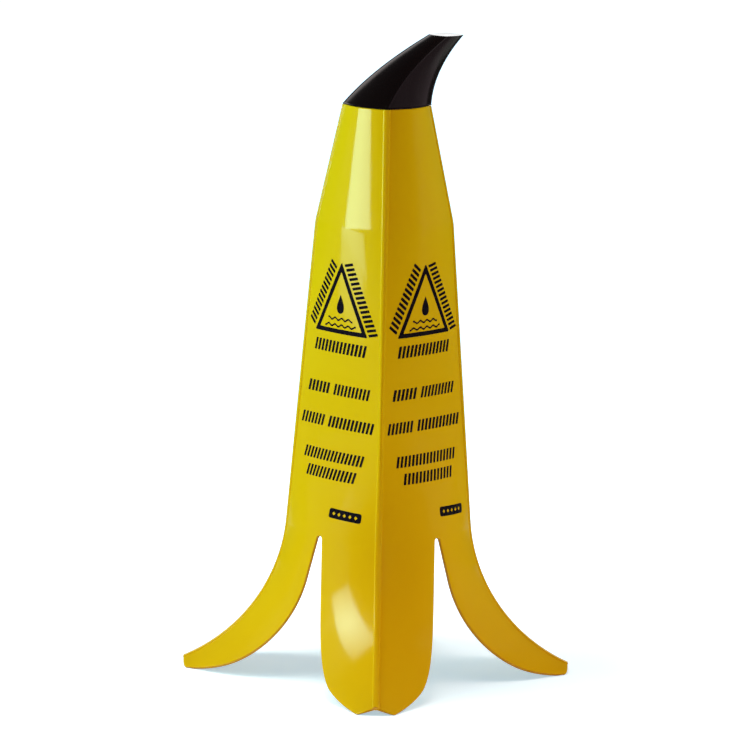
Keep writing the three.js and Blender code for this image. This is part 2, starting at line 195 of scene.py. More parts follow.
def leg_rows(along):
    """Rows of the sheet below the slot top."""
    share = along / EDGE_LENGTH
    top = float(curl_lean(SLOT_Z + BEAD_RISE * math.sin(curl_lean(SLOT_Z))))
    lean = top + (TIP_LEAN - top) * share
    corner = np.stack([
        curl_reach(lean) - BEAD_RISE * np.cos(lean),
        np.zeros_like(lean),
        curl_height(lean) - BEAD_RISE * np.sin(lean),
    ], -1)
    # the face keeps its round shape while the slot opens, so the bulge shrinks with the width
    start = float(body_rows([SLOT_Z])["bulge"][0])
    half_face = corner[0, 0] / ROOT2
    widening = math.sin(EDGE_LEAN) / ROOT2
    slope = SLOT_SLOPE - math.tan(top) / ROOT2 - 2 * start * widening / half_face
    kept = (1 - (SLOT_HALF + SLOT_HALF * widening) / half_face) ** 2
    bulge = hermite(start, TIP_BULGE / kept, slope * EDGE_LENGTH, 0.0, share)
    bulge = bulge * (1 - (1 - kept) * slot_closing(along))
    return {"corner": corner, "edge": leg_edge(along), "bulge": bulge, "lean": lean}


def sheet(rows, share):
    """Points of the plain sheet: share has one value for every row and column."""
    corner, edge = rows["corner"][:, None, :], rows["edge"][:, None, :]
    s = share[..., None]
    swell = rows["bulge"][:, None] * share * (1 - share) / ROOT2
    points = corner * (1 - s) + edge * s
    points[..., 0] += swell
    points[..., 1] += swell
    return points


def unit(v):
    return v / np.maximum(np.linalg.norm(v, axis=-1, keepdims=True), 1e-12)


CORNER_BLEND = 0.07


def sheet_normals(rows, share, slot_row):
    """Outward normals of the plain sheet, turned to the corner's own direction beside it."""
    step = 0.01
    points = sheet(rows, share)
    down = np.gradient(points, axis=0)
    ahead = sheet(rows, np.clip(share + step, 0, 1))
    back = sheet(rows, np.clip(share - step, 0, 1))
    normal = unit(np.cross(down, ahead - back))
    corner = np.stack([np.cos(rows["lean"]), np.zeros_like(rows["lean"]), np.sin(rows["lean"])], -1)
    near = (share < CORNER_BLEND)[..., None]
    weight = np.clip(share / CORNER_BLEND, 0, 1)[..., None]
    normal = np.where(near, unit(corner[:, None, :] * (1 - weight) + normal * weight), normal)
    # the two halves of a face meet in its middle, above the slot, with one normal
    middle = normal[:slot_row + 1, -1]
    out = (middle[:, 0] + middle[:, 1]) / 2
    normal[:slot_row + 1, -1] = unit(np.stack([out, out, middle[:, 2]], -1))
    return normal


# ---------------------------------------------------------------- mesh helpers
def new_object(name, data):
    made = bpy.data.objects.new(name, data)
    bpy.context.scene.collection.objects.link(made)
    return made


class Mesh:
    """Collects patches of quads and makes one Blender object of them."""

    def __init__(self):
        self.points, self.faces, self.count = [], [], 0
        self.rim, self.inner = [], []

    def note(self, count, rim, inner):
        """Marks for the materials: rim is 1 on a free edge, where the yellow gets painted shade,
        inner is 1 on the inside.
        """
        self.rim.append(np.full(count, rim))
        self.inner.append(np.full(count, inner))

    def patch(self, grid, flip=False, closed=False, rim=0.0, inner=0.0):
        """Quads between the rows and columns of a grid of points; closed joins its two sides."""
        rows, columns = grid.shape[:2]
        self.points.append(grid.reshape(-1, 3))
        self.note(rows * columns, rim, inner)
        index = np.arange(rows * columns).reshape(rows, columns) + self.count
        self.count += rows * columns
        if closed:
            index = np.concatenate([index, index[:, :1]], axis=1)
        a, b, c, d = index[:-1, :-1], index[1:, :-1], index[1:, 1:], index[:-1, 1:]
        quads = np.stack([a, d, c, b] if flip else [a, b, c, d], -1).reshape(-1, 4)
        self.faces.append(quads)

    def fan(self, loop, flip=False, rim=0.0, inner=0.0):
        """Triangles from a closed loop to its middle."""
        self.points.append(np.concatenate([loop, loop.mean(0)[None]]))
        count = len(loop)
        self.note(count + 1, rim, inner)
        first = np.arange(count) + self.count
        second = np.roll(first, -1)
        centre = np.full(count, self.count + count)
        tri = np.stack([second, first, centre] if flip else [first, second, centre], -1)
        self.faces.append(tri)
        self.count += count + 1

    def build(self, name):
        """One smooth object of all patches, with the points they share made one."""
        points = np.concatenate(self.points) * MM
        key = np.round(points * 1e6).astype(np.int64)
        _, first, back = np.unique(key, axis=0, return_index=True, return_inverse=True)
        back = back.reshape(-1)
        faces = []
        for corners in self.faces:
            for face in back[corners].tolist():
                kept = [v for k, v in enumerate(face) if v != face[k - 1]]
                if len(kept) > 2 and len(set(kept)) == len(kept):
                    faces.append(kept)
        data = bpy.data.meshes.new(name)
        data.from_pydata(points[first].tolist(), [], faces)
        for mark, values in (("rim", self.rim), ("inner", self.inner)):
            merged = np.zeros(len(first))
            np.maximum.at(merged, back, np.concatenate(values))
            data.attributes.new(mark, "FLOAT", "POINT").data.foreach_set("value", merged)
        data.validate()
        data.update()
        data.shade_smooth()
        return new_object(name, data)


def placed(points, q, side):
    """A patch made for one corner, turned onto corner q and mirrored when side is -1."""
    turn = math.pi / 4 + q * math.pi / 2
    v = side * points[..., 1]
    return np.stack([
        points[..., 0] * math.cos(turn) - v * math.sin(turn),
        points[..., 0] * math.sin(turn) + v * math.cos(turn),
        points[..., 2],
    ], -1)


# ---------------------------------------------------------------- yellow shell
NECK_ROUND, NECK_FLAT = 0.7, 0.4
BEAD_COLUMNS = np.array([0, 0.3, 0.5, 0.64, 0.75, 0.82, 0.88, 0.92, 0.96, 1.0, 1.02])
BEAD_FULLNESS, BEAD_SQUARENESS = 0.6, 10
FACE_COLUMNS = 20
LIP, LIP_BULGE, LIP_SQUARENESS = np.linspace(0, math.pi, 9), 0.55, 0.5


def shell_rows():
    """Rows from the neck down to the leg ends, and the number of the row at the slot's top."""
    heights = np.concatenate([
        [NECK_Z - NECK_ROUND, NECK_Z - NECK_ROUND - 0.5],
        np.linspace(NECK_Z - 2.5, SHOULDER_Z + 10, 26),
        np.linspace(SHOULDER_Z + 8, SHOULDER_Z - 8, 9),
        np.linspace(SHOULDER_Z - 12, SLOT_Z, 72),
    ])
    slot = SLOT_HALF * (1 - np.cos(np.linspace(0, math.pi / 2, 8)[1:]))
    tip = EDGE_LENGTH - TIP_CORNER * (1 - np.sin(np.linspace(0, math.pi / 2, 8)[1:]))
    legs = np.linspace(SLOT_HALF, EDGE_LENGTH - TIP_CORNER, 90)[1:]
    body, leg = body_rows(heights), leg_rows(np.concatenate([slot, legs, tip]))
    rows = {key: np.concatenate([body[key], leg[key]]) for key in body}
    return rows, len(heights) - 1


def shell_shares(rows):
    """Columns of every row as shares from corner to edge, and the bead's half width as a share."""
    width = np.linalg.norm(rows["edge"] - rows["corner"], axis=-1)
    bead = BEAD_HALF / width
    near = bead[:, None] * BEAD_COLUMNS[None, :]
    rest = np.linspace(0, 1, FACE_COLUMNS + 1)[1:]
    far = near[:, -1:] + (1 - near[:, -1:]) * rest[None, :]
    return np.concatenate([near, far], axis=1), bead


def lip(outer, inner, out):
    """Rounded edge between an outer and an inner boundary line, bulging along out."""
    middle, half = (outer + inner) / 2, (outer - inner) / 2
    c, s = np.cos(LIP), np.sin(LIP)
    across = (np.sign(c) * np.abs(c) ** LIP_SQUARENESS)[None, :, None]
    bulge = (LIP_BULGE * np.abs(s) ** LIP_SQUARENESS)[None, :, None]
    return middle[:, None] + half[:, None] * across + out[:, None] * bulge


def shell_mesh():
    rows, slot_row = shell_rows()
    share, bead = shell_shares(rows)
    plain = sheet(rows, share)
    normal = sheet_normals(rows, share, slot_row)
    offset = share / bead[:, None]
    rise = (BEAD_RISE + BEAD_FULLNESS * offset) * np.clip(1 - offset ** BEAD_SQUARENESS, 0, None)
    lean = np.stack([np.cos(rows["lean"]), np.zeros_like(rows["lean"]), np.sin(rows["lean"])], -1)
    outer = plain + rise[..., None] * lean[:, None, :]
    depth = WALL * (1 + CORNER_THICKER * np.exp(-(share / CORNER_SPREAD) ** 2))
    inner = plain - depth[..., None] * normal
    inner[0, :, 2] = NECK_Z - LEDGE

    # free edges: down the slot, round the corner of the tip and across its end
    path = np.gradient(plain[:, -1], axis=0)
    out = unit(np.cross(normal[:, -1], path))
    down = unit(plain[-1] - plain[-2])
    out[-1] = down[-1]
    edge_lip = lip(outer[slot_row:, -1], inner[slot_row:, -1], out[slot_row:])
    tip_lip = lip(outer[-1], inner[-1], down)
    edge_lip[0, :, :2] = edge_lip[0, :, :2].mean(-1, keepdims=True)

    ledge = ledge_loops(share[0])
    made = Mesh()
    for q in range(4):
        for side in (1, -1):
            flip = side < 0
            for grid, turned, rim, inside_face in (
                    (outer, flip, 0, 0), (inner, not flip, 0, 1),
                    (edge_lip[:, 1:], flip, 1, 0), (tip_lip[:, 1:], not flip, 1, 0),
                    (edge_lip[:, :2], flip, 0, 0), (tip_lip[:, :2], not flip, 0, 0)):
                grid = grid.copy()
                grid[..., 2] = np.maximum(grid[..., 2], 0)
                made.patch(placed(grid, q, side), turned, rim=rim, inner=inside_face)
            top = np.stack([*neck_round(outer[0]), *ledge, inner[0]])
            made.patch(placed(top, q, side), not flip)
    return made.build("shell")


def neck_round(line):
    """Quarter-round from the outside of the neck up to its flat top."""
    inward = unit(np.stack([line[:, 0], line[:, 1], np.zeros(len(line))], -1))
    rows = []
    for turn in np.linspace(0, math.pi / 2, 5):
        row = line - inward * (NECK_ROUND * (1 - math.cos(turn)))
        row[:, 2] = NECK_Z - NECK_ROUND * (1 - math.sin(turn))
        rows.append(row)
    return [*rows, rows[-1] - inward * NECK_FLAT]


def ledge_loops(share):
    """Half-corner lines of the flat ledge that the stem rests on and passes through."""
    top, bottom, mouth = NECK_Z, NECK_Z - LEDGE, SPIGOT_REACH + GAP
    flat, round_off, chamfer = 5.2, 0.6, 0.25
    steps = (
        (flat, top), (round_off, top),
        (chamfer, top - chamfer), (chamfer, bottom + chamfer), (round_off, bottom),
    )
    return [half_loop(mouth + grow, z, share) for grow, z in steps]


def half_loop(reach, z, share):
    """Half-corner line of a rounded square of a given corner reach."""
    row = {
        "corner": np.array([[reach, 0, z]]),
        "edge": np.array([[reach * ROUNDNESS / ROOT2, reach * ROUNDNESS / ROOT2, z]]),
        "bulge": np.array([reach * ROUNDNESS - reach / ROOT2]),
    }
    return sheet(row, share[None, :])[0]


# ---------------------------------------------------------------- stem
STEM_FOOT = NECK_Z + GAP
STEM_COLUMNS = np.concatenate([np.linspace(0, 0.12, 9), np.linspace(0.12, 1, 12)[1:]])
STEM_BEAD, STEM_BEAD_HALF, STEM_BEAD_ROUNDNESS = 0.45, 2.6, 2.2
SMALL_REACH = 20.0
STEM_HOLLOW, STEM_CORNER_WALL = 0.95, 2.0
TOP_ROUND = 0.45
STEM_RIM = (
    # height above the stem's foot, growth
    (0.0, -0.3), (0.1, 0.0), (0.3, 0.28), (0.6, 0.36), (0.9, 0.28),
    (1.1, 0.04), (1.3, -0.08), (1.6, -0.04), (2.0, 0.0),
)


def whole_loop(reach, z, bead):
    """Closed rounded-square line of a given corner reach, with a rib on every corner.

    The rib takes a larger share of a side where the stem is slim, down to SMALL_REACH."""
    flat = reach - bead
    row = {
        "corner": np.array([[flat, 0, z]]),
        "edge": np.array([[reach * ROUNDNESS / ROOT2, reach * ROUNDNESS / ROOT2, z]]),
        "bulge": np.array([reach * ROUNDNESS - flat / ROOT2]),
    }
    half = sheet(row, STEM_COLUMNS[None, :])[0]
    offset = STEM_COLUMNS / (STEM_BEAD_HALF / max(reach, SMALL_REACH))
    half[:, 0] += bead * np.clip(1 - offset ** STEM_BEAD_ROUNDNESS, 0, None)
    parts = []
    for q in range(4):
        parts.append(placed(half[:0:-1], q, -1))
        parts.append(placed(half[:-1], q, 1))
    return np.concatenate(parts)


def stem_reach(share):
    return NECK_REACH + (STEM_TOP - NECK_REACH) * share


def stem_section(share, inset, bead, grow=0.0, lift=0.0):
    """Closed line round the leaning stem at a share of its height."""
    z = STEM_FOOT + (HEIGHT - STEM_FOOT) * share + lift
    aside = (STEM_LEAN * share + STEM_HOOK * share ** 2) / ROOT2
    loop = whole_loop(stem_reach(share) - inset + grow, z, bead)
    loop[:, :2] += aside
    return loop


def stem_mesh():
    tall = HEIGHT - STEM_FOOT
    outside = []
    for up, grow in STEM_RIM:
        outside.append(stem_section(up / tall, 0, STEM_BEAD, grow))
    for share in np.linspace(STEM_RIM[-1][0] / tall, 1 - 1.0 / tall, 44)[1:]:
        outside.append(stem_section(share, 0, STEM_BEAD))
    for turn in np.linspace(0, math.pi / 2, 6):
        drop = TOP_ROUND * (1 - math.sin(turn))
        outside.append(stem_section(1 - drop / tall, TOP_ROUND * (1 - math.cos(turn)), STEM_BEAD))
    outside.append(stem_section(1.0, TOP_ROUND + 0.3, STEM_BEAD))
    outside.append(stem_section(1.0, 3.0, 0.3, lift=-0.12))

    foot, bore = NECK_Z - SPIGOT_DEPTH, SPIGOT_REACH - SPIGOT_WALL
    spigot = [whole_loop(r, z, 0) for r, z in (
        (bore, foot + 0.5), (bore + 0.5, foot),
        (SPIGOT_REACH - 1.3, foot), (SPIGOT_REACH - 0.8, foot + 0.5), (SPIGOT_REACH, foot + 4),
        (SPIGOT_REACH, STEM_FOOT - 0.4), (SPIGOT_REACH + 0.3, STEM_FOOT))]
    inside = []
    for share in np.linspace(0.0, STEM_HOLLOW, 30):
        hollow = min(stem_reach(share) - STEM_WALL - STEM_CORNER_WALL, bore)
        inside.append(stem_section(share, stem_reach(share) - hollow, 0))
    inside.reverse()

    made = Mesh()
    made.patch(np.stack(outside[::-1]), closed=True, flip=False)
    made.fan(outside[-1])
    made.patch(np.stack([outside[0]] + spigot[::-1]), closed=True)
    made.patch(np.stack([spigot[0]] + inside[::-1]), closed=True)
    made.fan(inside[0], flip=True)
    return made.build("stem")


# ---------------------------------------------------------------- printed legends
INK_LIFT, INK_THICK = 0.03, 0.09
OUTLINE_STEP, INSIDE_STEP, INSIDE_START = 3.0, 4.0, 1.5


def face_point(p, z):
    """Point on the +X face, p millimetres from its middle line, and its outward normal."""
    p, z, step = np.asarray(p, float), np.asarray(z, float), 0.2

    def surface(across, height):
        half = body_rows(height)["corner"][:, 0] / ROOT2
        share = np.abs(across) / half
        out = half + (mid_reach(height) - half) * (1 - share * share)
        return np.stack([out, across, height], -1)

    along_p = surface(p + step, z) - surface(p - step, z)
    along_z = surface(p, z + step) - surface(p, z - step)
    return surface(p, z), unit(np.cross(along_p, along_z))


class Ink:
    """Thin raised ink marks on one face, drawn in face millimetres (across, up)."""

    def __init__(self, turn):
        self.turn, self.points, self.faces, self.count = turn, [], [], 0

    def mark(self, outline, holes=()):
        """One closed mark from its outline and holes, cut fine enough to follow the face."""
        verts, edges = [], []
        for loop in [outline, *holes]:
            first = len(verts)
            dense = densify(loop, OUTLINE_STEP)
            verts.extend(dense)
            edges.extend((first + k, first + (k + 1) % len(dense)) for k in range(len(dense)))
        low, high = np.min(outline, axis=0), np.max(outline, axis=0)
        for x in np.arange(low[0] + INSIDE_START, high[0], INSIDE_STEP):
            for y in np.arange(low[1] + INSIDE_START, high[1], INSIDE_STEP):
                verts.append((x, y))
        flat, _, faces, *_ = delaunay_2d_cdt([Vector(v) for v in verts], edges, [], 0, 1e-5)
        flat = np.array([tuple(v) for v in flat])
        kept = []
        for face in faces:
            centre = flat[list(face)].mean(0)
            if inside(centre, outline) and not any(inside(centre, h) for h in holes):
                kept.append(list(face))
        used = sorted({v for f in kept for v in f})
        renumber = {v: k for k, v in enumerate(used)}
        flat = flat[used]
        kept = [[renumber[v] for v in f] for f in kept]
        base, normal = face_point(flat[:, 0], flat[:, 1])
        bottom, top = base + INK_LIFT * normal, base + (INK_LIFT + INK_THICK) * normal
        count = len(flat)
        self.points.append(self.turned(np.concatenate([top, bottom])))
        upper, lower = self.count, self.count + count
        sides = {side: None for f in kept for side in zip(f, f[1:] + f[:1])}
        for f in kept:
            self.faces.append([v + upper for v in f])
            self.faces.append([v + lower for v in reversed(f)])
        for a, b in sides:
            if (b, a) not in sides:
                self.faces.append([a + upper, a + lower, b + lower, b + upper])
        self.count += 2 * count

    def turned(self, points):
        c, s = math.cos(self.turn), math.sin(self.turn)
        x, y, z = points.T
        return np.stack([x * c - y * s, x * s + y * c, z], -1)

    def build(self, name):
        data = bpy.data.meshes.new(name)
        data.from_pydata((np.concatenate(self.points) * MM).tolist(), [], self.faces)
        data.validate()
        data.update()
        return new_object(name, data)


def densify(loop, step):
    """The loop with points added so that none are further apart than step."""
    dense = []
    for a, b in zip(loop, loop[1:] + loop[:1]):
        parts = max(1, math.ceil(math.dist(a, b) / step))
        for k in range(parts):
            t = k / parts
            dense.append((a[0] + (b[0] - a[0]) * t, a[1] + (b[1] - a[1]) * t))
    return dense


def inside(point, loop):
    """Whether a point lies inside a closed loop."""
    hit = False
    x, y = point
    for (x1, y1), (x2, y2) in zip(loop, loop[1:] + loop[:1]):
        if (y1 > y) != (y2 > y) and x < x1 + (y - y1) * (x2 - x1) / (y2 - y1):
            hit = not hit
    return hit


def rounded(corners, radius, steps=5):
    """Polygon with its corners rounded."""
    out = []
    count = len(corners)
    for k in range(count):
        p = Vector(corners[k])
        a = (Vector(corners[k - 1]) - p).normalized()
        b = (Vector(corners[(k + 1) % count]) - p).normalized()
        half = a.angle(b) / 2
        back = radius / math.tan(half)
        centre = p + (a + b).normalized() * (radius / math.sin(half))
        start, end = p + a * back - centre, p + b * back - centre
        sweep = start.angle_signed(end)
        for j in range(steps + 1):
            t = -sweep * j / steps
            turned = Vector((start.x * math.cos(t) - start.y * math.sin(t),
                             start.x * math.sin(t) + start.y * math.cos(t)))
            out.append(tuple(centre + turned))
    return out


def block(cx, cy, width, height, angle=0.0, radius=1.0, slant=0.0):
    """Rounded bar turned by angle; slant is how far its top is moved along its width."""
    c, s = math.cos(angle), math.sin(angle)
    corners = []
    for x, y in ((-0.5, -0.5), (0.5, -0.5), (0.5, 0.5), (-0.5, 0.5)):
        x, y = x * width + y * slant, y * height
        corners.append((cx + x * c - y * s, cy + x * s + y * c))
    return rounded(corners, radius)


# ---------------------------------------------------------------- marks of the legend
TRI_BASE, TRI_APEX, TRI_HALF, STROKE = 320.4, 386.0, 33.2, 4.0
TRI_SLOPE = math.atan2(TRI_APEX - TRI_BASE, TRI_HALF)
DROP_Z, DROP_HALF, DROP_TALL, DROP_SHARPNESS, DROP_POINTS = 347.5, 6.2, 8.8, 1.4, 28
RIPPLES = ((333.6, 15.5), (327.6, 19.5))  # height, half length
RIPPLE_WAVE, RIPPLE_RISE, RIPPLE_THICK, RIPPLE_POINTS = 0.75, 1.1, 1.7, 25
ROWS = (
    # centre height, width, bar height, groups as shares of the row; a negative share is left empty
    (307.7, 64.4, 11.0, (1,)),
    (268.7, 77.3, 10.4, (3.05, -0.5, 4.65)),
    (238.6, 91.0, 10.4, (3.3, -0.5, 5.95)),
    (207.8, 74.7, 10.2, (1,)),
    (191.9, 61.5, 10.2, (1,)),
)
BAR_PITCH, BAR_GAP, BAR_SLANT, BAR_CORNER = 4.6, 1.9, 2.4, 0.5
SIDE_ROWS = (
    # side of the triangle, length, how much lower its middle is than the side's
    (-1, 64.0, 1.0),
    (1, 70.6, 3.0),
)
SIDE_OFF, SIDE_TALL = 8.4, 9.6
PLAQUE_X, PLAQUE_Z, PLAQUE_WIDE, PLAQUE_TALL, PLAQUE_TILT = 25.0, 157.3, 35.0, 8.8, -0.05
HOLE_PITCH, HOLE_SIDE = 6.0, 2.6


def triangle_marks(ink):
    outer = [(-TRI_HALF, TRI_BASE), (TRI_HALF, TRI_BASE), (0, TRI_APEX)]
    low = TRI_BASE + STROKE
    top = TRI_APEX - STROKE / math.cos(TRI_SLOPE)
    half = TRI_HALF - STROKE / math.tan(TRI_SLOPE / 2)
    inner = [(-half, low), (half, low), (0, top)]
    ink.mark(rounded(outer, 0.8), [rounded(inner, 0.4)])


def drop_marks(ink):
    """A water drop over two ripples, inside the triangle."""
    drop = []
    for k in range(DROP_POINTS):
        t = 2 * math.pi * k / DROP_POINTS
        wide = DROP_HALF * math.sin(t) * math.sin(t / 2) ** DROP_SHARPNESS
        drop.append((wide, DROP_Z + DROP_TALL * math.cos(t)))
    ink.mark(drop)
    for middle, half in RIPPLES:
        upper, lower = [], []
        for x in np.linspace(-half, half, RIPPLE_POINTS).tolist():
            y = middle + RIPPLE_RISE * math.sin(x * RIPPLE_WAVE)
            upper.append((x, y + RIPPLE_THICK / 2))
            lower.append((x, y - RIPPLE_THICK / 2))
        ink.mark(lower + upper[::-1])


def row_marks(ink, cx, cy, width, height, groups, angle=0.0):
    """A row of evenly spaced slanted bars."""
    unit_width = (width + BAR_GAP) / sum(abs(share) for share in groups)
    at = -width / 2
    c, s = math.cos(angle), math.sin(angle)
    for share in groups:
        span = abs(share) * unit_width
        bars = round(span / BAR_PITCH) if share > 0 else 0
        for k in range(bars):
            x = at + (span * (k + 0.5) - BAR_GAP * bars / 2) / bars
            wide = span / bars - BAR_GAP
            ink.mark(block(cx + x * c, cy + x * s, wide, height, angle, BAR_CORNER, BAR_SLANT))
        at += span


def legend(name, turn):
    """Printed legend of one face: rows of plain bars, a drop in a triangle and a pierced plaque."""
    ink = Ink(turn)
    triangle_marks(ink)
    drop_marks(ink)
    for z, width, height, groups in ROWS:
        row_marks(ink, 0, z, width, height, groups)
    middle = (TRI_BASE + TRI_APEX) / 2 + SIDE_OFF * math.cos(TRI_SLOPE)
    for way, length, drop in SIDE_ROWS:
        x = way * (TRI_HALF / 2 + SIDE_OFF * math.sin(TRI_SLOPE))
        row_marks(ink, x, middle - drop, length, SIDE_TALL, (1,), -way * TRI_SLOPE)
    holes = []
    for k in range(-2, 3):
        x, z = PLAQUE_X + HOLE_PITCH * k, PLAQUE_Z + HOLE_PITCH * k * PLAQUE_TILT
        holes.append(block(x, z, HOLE_SIDE, HOLE_SIDE, math.pi / 4, 0.4))
    ink.mark(block(PLAQUE_X, PLAQUE_Z, PLAQUE_WIDE, PLAQUE_TALL, PLAQUE_TILT, 2.0), holes)
    return ink.build(name)


# ---------------------------------------------------------------- materials
def nodes_of(name):
    material = bpy.data.materials.new(name)
    material.use_nodes = True
    tree = material.node_tree
    tree.nodes.clear()
    out = tree.nodes.new("ShaderNodeOutputMaterial")
    shader = tree.nodes.new("ShaderNodeBsdfPrincipled")
    tree.links.new(shader.outputs[0], out.inputs[0])
    return material, tree, shader


def node(tree, kind, **values):
    """A node with its properties and its sockets' values set by name."""
    made = tree.nodes.new(kind)
    for key, value in values.items():
        if key in made.bl_rna.properties:
            setattr(made, key, value)
        else:
            made.inputs[key].default_value = value
    return made


def ramp(tree, source, stops):
    made = tree.nodes.new("ShaderNodeValToRGB")
    elements = made.color_ramp.elements
    while len(elements) < len(stops):
        elements.new(0.5)
    for element, (at, color) in zip(elements, stops):
        element.position = at
        element.color = (*color, 1.0)
    tree.links.new(source, made.inputs[0])
    return made.outputs[0]


def level(tree, source, low, high, start=0.0, end=1.0):
    """Source brought from the range low..high to start..end."""
    made = node(tree, "ShaderNodeMapRange", clamp=True)
    tree.links.new(source, made.inputs["Value"])
    sockets = ("From Min", "From Max", "To Min", "To Max")
    for socket, value in zip(sockets, (low, high, start, end)):
        made.inputs[socket].default_value = value
    return made.outputs["Result"]


def noise(tree, coordinates, scale, detail=3.0, roughness=0.5, stretch=None):
    """Procedural noise at a scale in cells per metre."""
    if stretch:
        mapping = node(tree, "ShaderNodeMapping")
        mapping.inputs["Scale"].default_value = stretch
        tree.links.new(coordinates, mapping.inputs["Vector"])
        coordinates = mapping.outputs[0]
    made = node(tree, "ShaderNodeTexNoise", Scale=scale, Detail=detail, Roughness=roughness)
    tree.links.new(coordinates, made.inputs["Vector"])
    return made.outputs["Fac"]


def combine(tree, kind, first, second):
    made = node(tree, "ShaderNodeMath", operation=kind)
    for socket, value in zip(made.inputs, (first, second)):
        if isinstance(value, (int, float)):
            socket.default_value = value
        else:
            tree.links.new(value, socket)
    return made.outputs[0]


def tint(tree, factor, first, second):
    """Colour mix by a factor socket; colours are sockets or tuples."""
    made = node(tree, "ShaderNodeMix", data_type="RGBA")
    tree.links.new(factor, made.inputs["Factor"])
    for socket, value in ((made.inputs[6], first), (made.inputs[7], second)):
        if isinstance(value, tuple):
            socket.default_value = (*value, 1.0)
        else:
            tree.links.new(value, socket)
    return made.outputs[2]


def bumps(tree, shader, layers):
    """Bump from several height sockets, each with its depth in metres."""
    last = None
    for height, depth in layers:
        made = node(tree, "ShaderNodeBump", Strength=1.0, Distance=depth)
        tree.links.new(height, made.inputs["Height"])
        if last:
            tree.links.new(last, made.inputs["Normal"])
        last = made.outputs[0]
    tree.links.new(last, shader.inputs["Normal"])


def attribute(tree, name):
    return node(tree, "ShaderNodeAttribute", attribute_name=name).outputs["Fac"]


def object_place(tree):
    return node(tree, "ShaderNodeTexCoord").outputs["Object"]


def scaled(tree, source, factor):
    return combine(tree, "MULTIPLY", source, factor)


def mottled(tree, source, colors):
    """Runs between a pair of colours along a noise."""
    return ramp(tree, source, [(0.3, colors[0]), (0.7, colors[1])])


SCUFFS = (
    # rotation, stretch
    ((0, 0, 0.5), (1, 14, 1)),
    ((0.9, 0, -0.4), (14, 1, 1)),
)
SCUFF_SCALE, SCUFF_DETAIL, SCUFF_ROUGHNESS, SCUFF_RANGE = 55.0, 5.0, 0.62, (0.66, 0.74)


def scuffs(tree, place):
    """Fine scratches in two directions, 0 where the plastic is untouched."""
    lines = []
    for turn, stretch in SCUFFS:
        mapping = node(tree, "ShaderNodeMapping")
        mapping.inputs["Rotation"].default_value = turn
        mapping.inputs["Scale"].default_value = stretch
        tree.links.new(place, mapping.inputs["Vector"])
        streaks = noise(tree, mapping.outputs[0], SCUFF_SCALE, SCUFF_DETAIL, SCUFF_ROUGHNESS)
        lines.append(level(tree, streaks, *SCUFF_RANGE))
    return combine(tree, "MAXIMUM", *lines)


# linear colours; a pair is what the plastic's mottling runs between
# the low pair is painted shade: the same yellow made darker and more orange for the lower part of
# the shell
YELLOW_PAINTED_LOW_SHADE = ((0.715, 0.470, 0.0022), (0.740, 0.495, 0.0034))
YELLOW_HIGH = ((0.715, 0.560, 0.0022), (0.740, 0.590, 0.0034))
# the edge colour is painted shade, a darker orange-brown for the cut edges of the wall
YELLOW_PAINTED_EDGE_SHADE, YELLOW_INSIDE = (0.60, 0.29, 0.002), (0.66, 0.46, 0.012)
YELLOW_WORN = (0.62, 0.52, 0.20)
BROWN, BROWN_INSIDE = ((0.0040, 0.0027, 0.0031), (0.0062, 0.0040, 0.0040)), (0.020, 0.014, 0.012)
INK_STOPS = (
    (0.3, (0.0035, 0.0030, 0.0075)),
    (0.68, (0.0060, 0.0052, 0.0110)),
    (0.78, (0.022, 0.017, 0.011)),
)
PLASTIC_IOR, INK_IOR = 1.5, 1.35
# heights in metres between which the yellow turns from the painted shade of the bottom, darker and
# more orange, to the plain yellow above, and the scuffs fade out
YELLOW_SHADE_TURN, WORN_FADE = (0.10, 0.46), (0.035, 0.002)


def yellow_material():
    """Glossy moulded plastic: painted shade on the cut edges and towards the bottom, dull inside,
    scuffed near the floor.
    """
    material, tree, shader = nodes_of("yellow_plastic")
    place = object_place(tree)
    height = node(tree, "ShaderNodeSeparateXYZ")
    tree.links.new(place, height.inputs[0])
    rim, inner = attribute(tree, "rim"), attribute(tree, "inner")
    broad = noise(tree, place, 6.0, 2.0)
    fine = noise(tree, place, 90.0, 4.0)
    near_floor = level(tree, height.outputs["Z"], *WORN_FADE)
    worn = combine(tree, "MULTIPLY", scuffs(tree, place), near_floor)
    # painted shade: low is the yellow darkened and turned orange for the bottom of the shell, mixed
    # in by height below
    low, high = mottled(tree, broad, YELLOW_PAINTED_LOW_SHADE), mottled(tree, broad, YELLOW_HIGH)
    base = tint(tree, level(tree, height.outputs["Z"], *YELLOW_SHADE_TURN), low, high)
    # painted shade on the free edges of the wall, where the rim mark is 1
    base = tint(tree, scaled(tree, rim, 0.75), base, YELLOW_PAINTED_EDGE_SHADE)
    base = tint(tree, scaled(tree, inner, 0.5), base, YELLOW_INSIDE)
    base = tint(tree, scaled(tree, worn, 0.35), base, YELLOW_WORN)
    tree.links.new(base, shader.inputs["Base Color"])
    rough = level(tree, fine, 0.3, 0.7, 0.08, 0.12)
    rough = combine(tree, "ADD", rough, scaled(tree, inner, 0.22))
    rough = combine(tree, "ADD", rough, scaled(tree, worn, 0.30))
    tree.links.new(rough, shader.inputs["Roughness"])
    shader.inputs["IOR"].default_value = PLASTIC_IOR
    coarseness = combine(tree, "ADD", scaled(tree, inner, 3.0), 0.5)
    grain = combine(tree, "MULTIPLY", noise(tree, place, 900.0, 2.0), coarseness)
    bumps(tree, shader, [
        (noise(tree, place, 22.0, 1.0, stretch=(1, 1, 0.35)), 0.00012),
        (noise(tree, place, 420.0, 2.0), 0.0000045),
        (grain, 0.000004),
        (worn, -0.00002),
    ])
    return material


